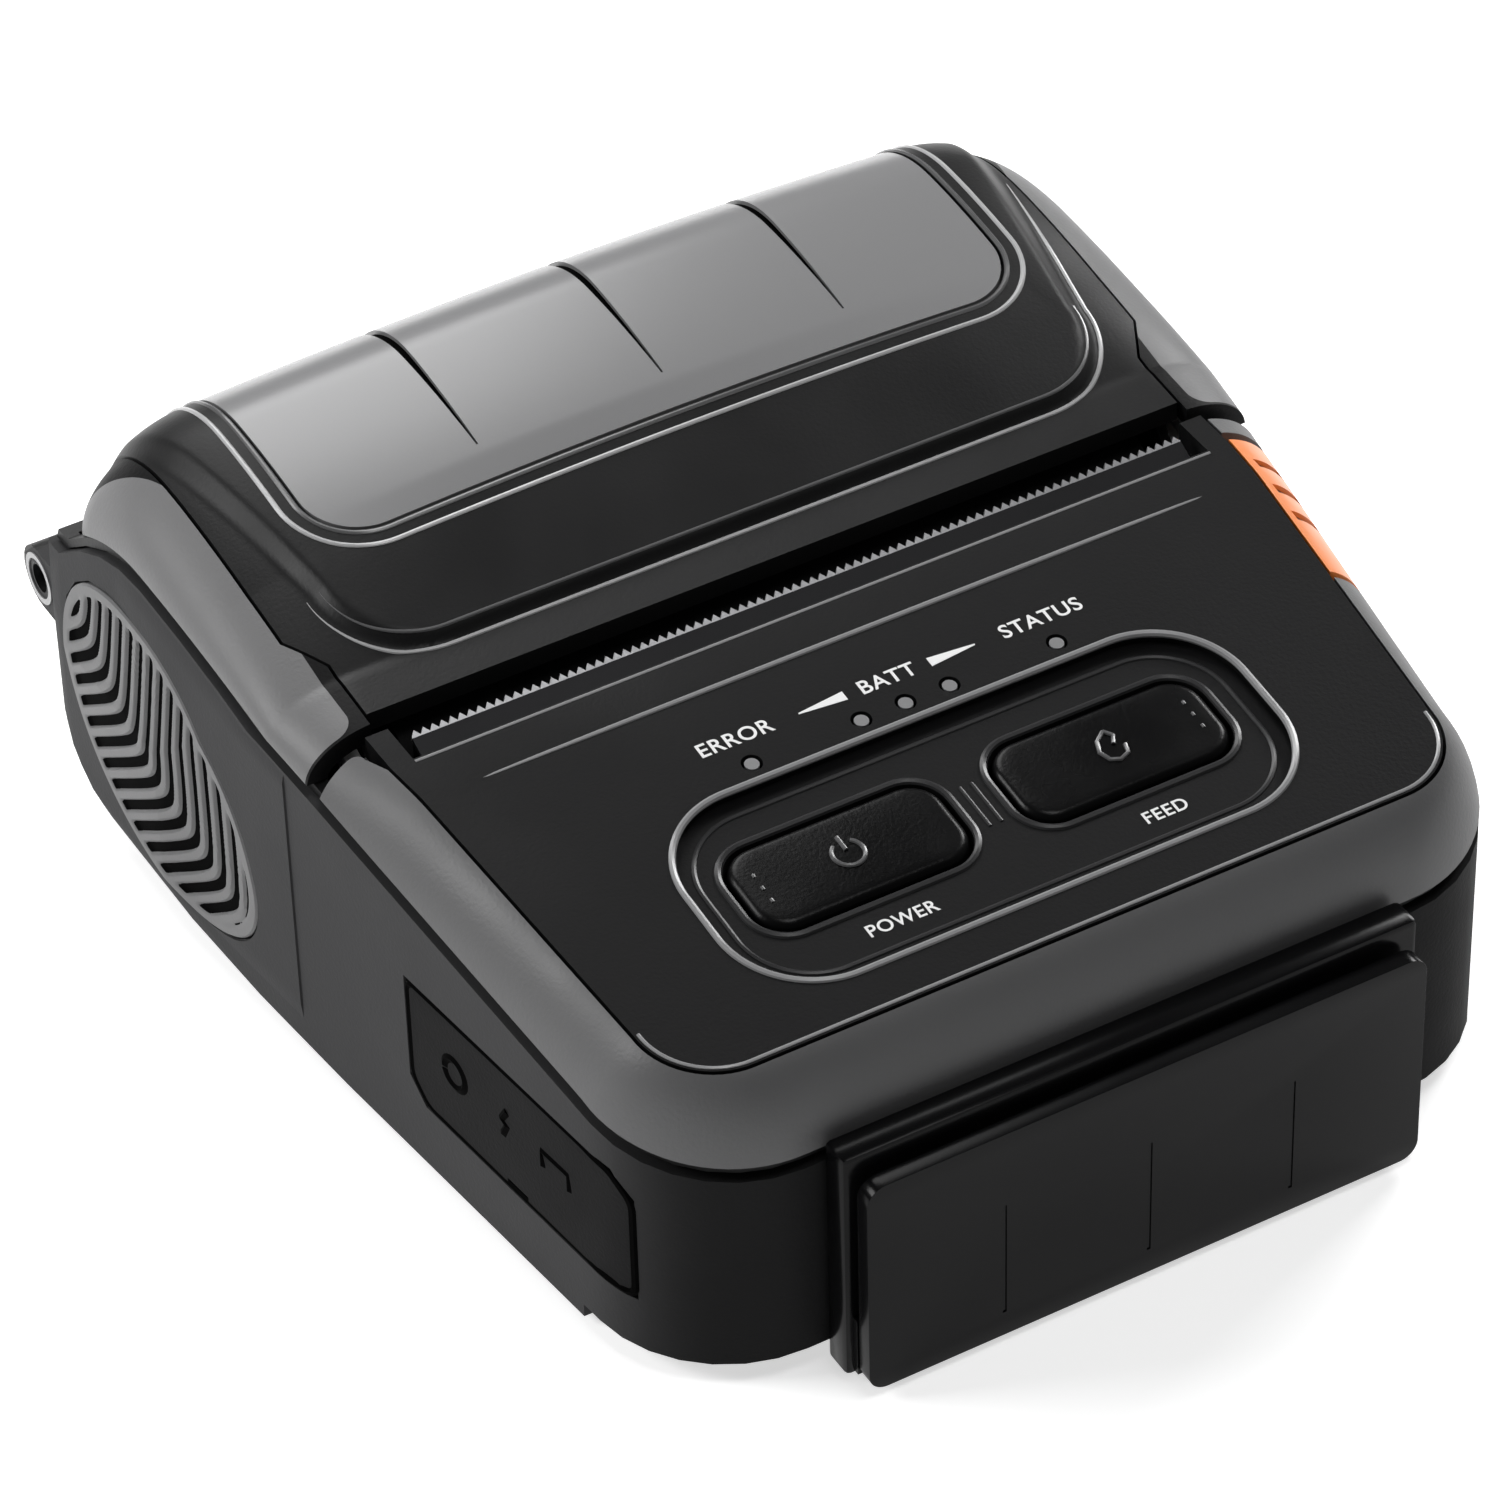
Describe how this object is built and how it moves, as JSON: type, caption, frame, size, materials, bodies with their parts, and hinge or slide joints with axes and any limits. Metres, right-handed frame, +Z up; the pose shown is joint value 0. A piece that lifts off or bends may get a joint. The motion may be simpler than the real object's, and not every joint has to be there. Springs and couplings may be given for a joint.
{
  "type": "mobile receipt printer",
  "caption": "Pocket receipt printer with a clamshell lid over its paper bay, a toothed tear bar, sloping control panel, side grips and a card swipe reader on its front.",
  "frame": {"origin": "on the table, in the middle of the box round the printer, lid closed", "axes": "+Z up, -Y towards the card reader and the user, +X towards the release lever"},
  "size_m": [0.1054, 0.122, 0.0477],
  "materials": {
    "black_plastic": "fine matt grain",
    "gloss_black": "polished",
    "grey_plastic": "satin",
    "window_plastic": "smooth satin grey",
    "orange_plastic": "smooth",
    "dark_rubber": "matt",
    "steel": "plain",
    "aluminium": "plain",
    "board_green": "green resist",
    "white_plastic": "plain",
    "clear_guide": "translucent"
  },
  "bodies": {
    "case": {"base_plate": "black_plastic", "battery_contacts": "white_plastic", "battery_tray": "black_plastic", "bezel": "grey_plastic", "bezel_corner": "grey_plastic", "card_reader_cover": "gloss_black", "card_reader_head": "steel", "card_reader_rail": "gloss_black", "case_screw_1": "steel", "case_screw_2": "steel", "case_screw_3": "steel", "case_screw_4": "steel", "charging_jack": "gloss_black", "control_panel": "black_plastic", "feed_motor": "steel", "feed_switch": "white_plastic", "grip_left": "dark_rubber", "grip_right": "dark_rubber", "head_spring_left": "steel", "head_spring_right": "steel", "heat_sink": "aluminium", "hinge_pin": "steel", "interface_socket": "steel", "lever_pin": "steel", "light_guide": "clear_guide", "lower_case": "grey_plastic", "main_board": "board_green", "mechanism_frame": "aluminium", "paper_bay": "black_plastic", "paper_sensor": "gloss_black", "power_switch": "white_plastic", "print_head": "gloss_black", "rubber_foot_1": "dark_rubber", "rubber_foot_2": "dark_rubber", "rubber_foot_3": "dark_rubber", "rubber_foot_4": "dark_rubber", "seam_gasket": "black_plastic", "switch_board": "board_green", "tear_bar": "steel"},
    "lid": {"lid_cover": "black_plastic", "lid_window": "window_plastic", "lid_strip_left": "grey_plastic", "lid_strip_right": "grey_plastic", "lid_inner": "black_plastic", "platen_bush_left": "white_plastic", "platen_bush_right": "white_plastic"},
    "platen": {"platen_roller": "dark_rubber", "platen_shaft": "steel", "platen_gear": "white_plastic"},
    "idler": {"idler_gear": "white_plastic"},
    "pinion": {"motor_pinion": "steel"},
    "latch": {"latch_shaft": "steel", "latch_hook_left": "steel", "latch_hook_right": "steel"},
    "lever": {"release_lever": "orange_plastic"},
    "power_key": {"power_button": "dark_rubber"},
    "feed_key": {"feed_button": "dark_rubber"},
    "battery": {"battery_pack": "dark_rubber"},
    "port_door": {"port_cover": "dark_rubber"}
  },
  "joints": [
    {"name": "lid_hinge", "type": "hinge", "parent": "case", "child": "lid", "pos_m": [0, 0.0576, 0.0195], "axis": [-1, 0, 0], "range_deg": [0, 80]},
    {"name": "platen_spin", "type": "hinge", "parent": "lid", "child": "platen", "pos_m": [0, 0.0053, 0.0307], "axis": [1, 0, 0], "continuous": true},
    {"name": "idler_spin", "type": "hinge", "parent": "case", "child": "idler", "pos_m": [0, -0.00034, 0.02155], "axis": [1, 0, 0], "continuous": true},
    {"name": "pinion_spin", "type": "hinge", "parent": "case", "child": "pinion", "pos_m": [0, -0.0002, 0.0128], "axis": [1, 0, 0], "continuous": true},
    {"name": "lever_lift", "type": "hinge", "parent": "case", "child": "lever", "pos_m": [0, -0.0223, 0.03242], "axis": [1, 0, 0], "range_deg": [0, 7]},
    {"name": "latch_swing", "type": "hinge", "parent": "case", "child": "latch", "pos_m": [0, -0.0052, 0.0226], "axis": [1, 0, 0], "range_deg": [0, 17.5], "stiffness_Nm_per_rad": 0.0003, "springref_deg": -11.46},
    {"name": "power_press", "type": "slide", "parent": "case", "child": "power_key", "axis": [0, 0, -1], "range_m": [0, 0.0008], "stiffness_N_per_m": 800, "springref_m": -0.0005},
    {"name": "feed_press", "type": "slide", "parent": "case", "child": "feed_key", "axis": [0, 0, -1], "range_m": [0, 0.0008], "stiffness_N_per_m": 800, "springref_m": -0.0005},
    {"name": "battery_slide", "type": "slide", "parent": "case", "child": "battery", "axis": [1, 0, 0], "range_m": [0, 0.07]},
    {"name": "port_hinge", "type": "hinge", "parent": "case", "child": "port_door", "pos_m": [-0.04644, -0.0301, 0.0094], "axis": [0.1071, -0.9943, 0], "range_deg": [0, 80]}
  ],
  "couplings": [
    {"joint": "idler_spin", "follows": "platen_spin", "ratio": -0.72},
    {"joint": "pinion_spin", "follows": "platen_spin", "ratio": 1.8},
    {"joint": "lever_lift", "follows": "latch_swing", "ratio": 0.4}
  ]
}
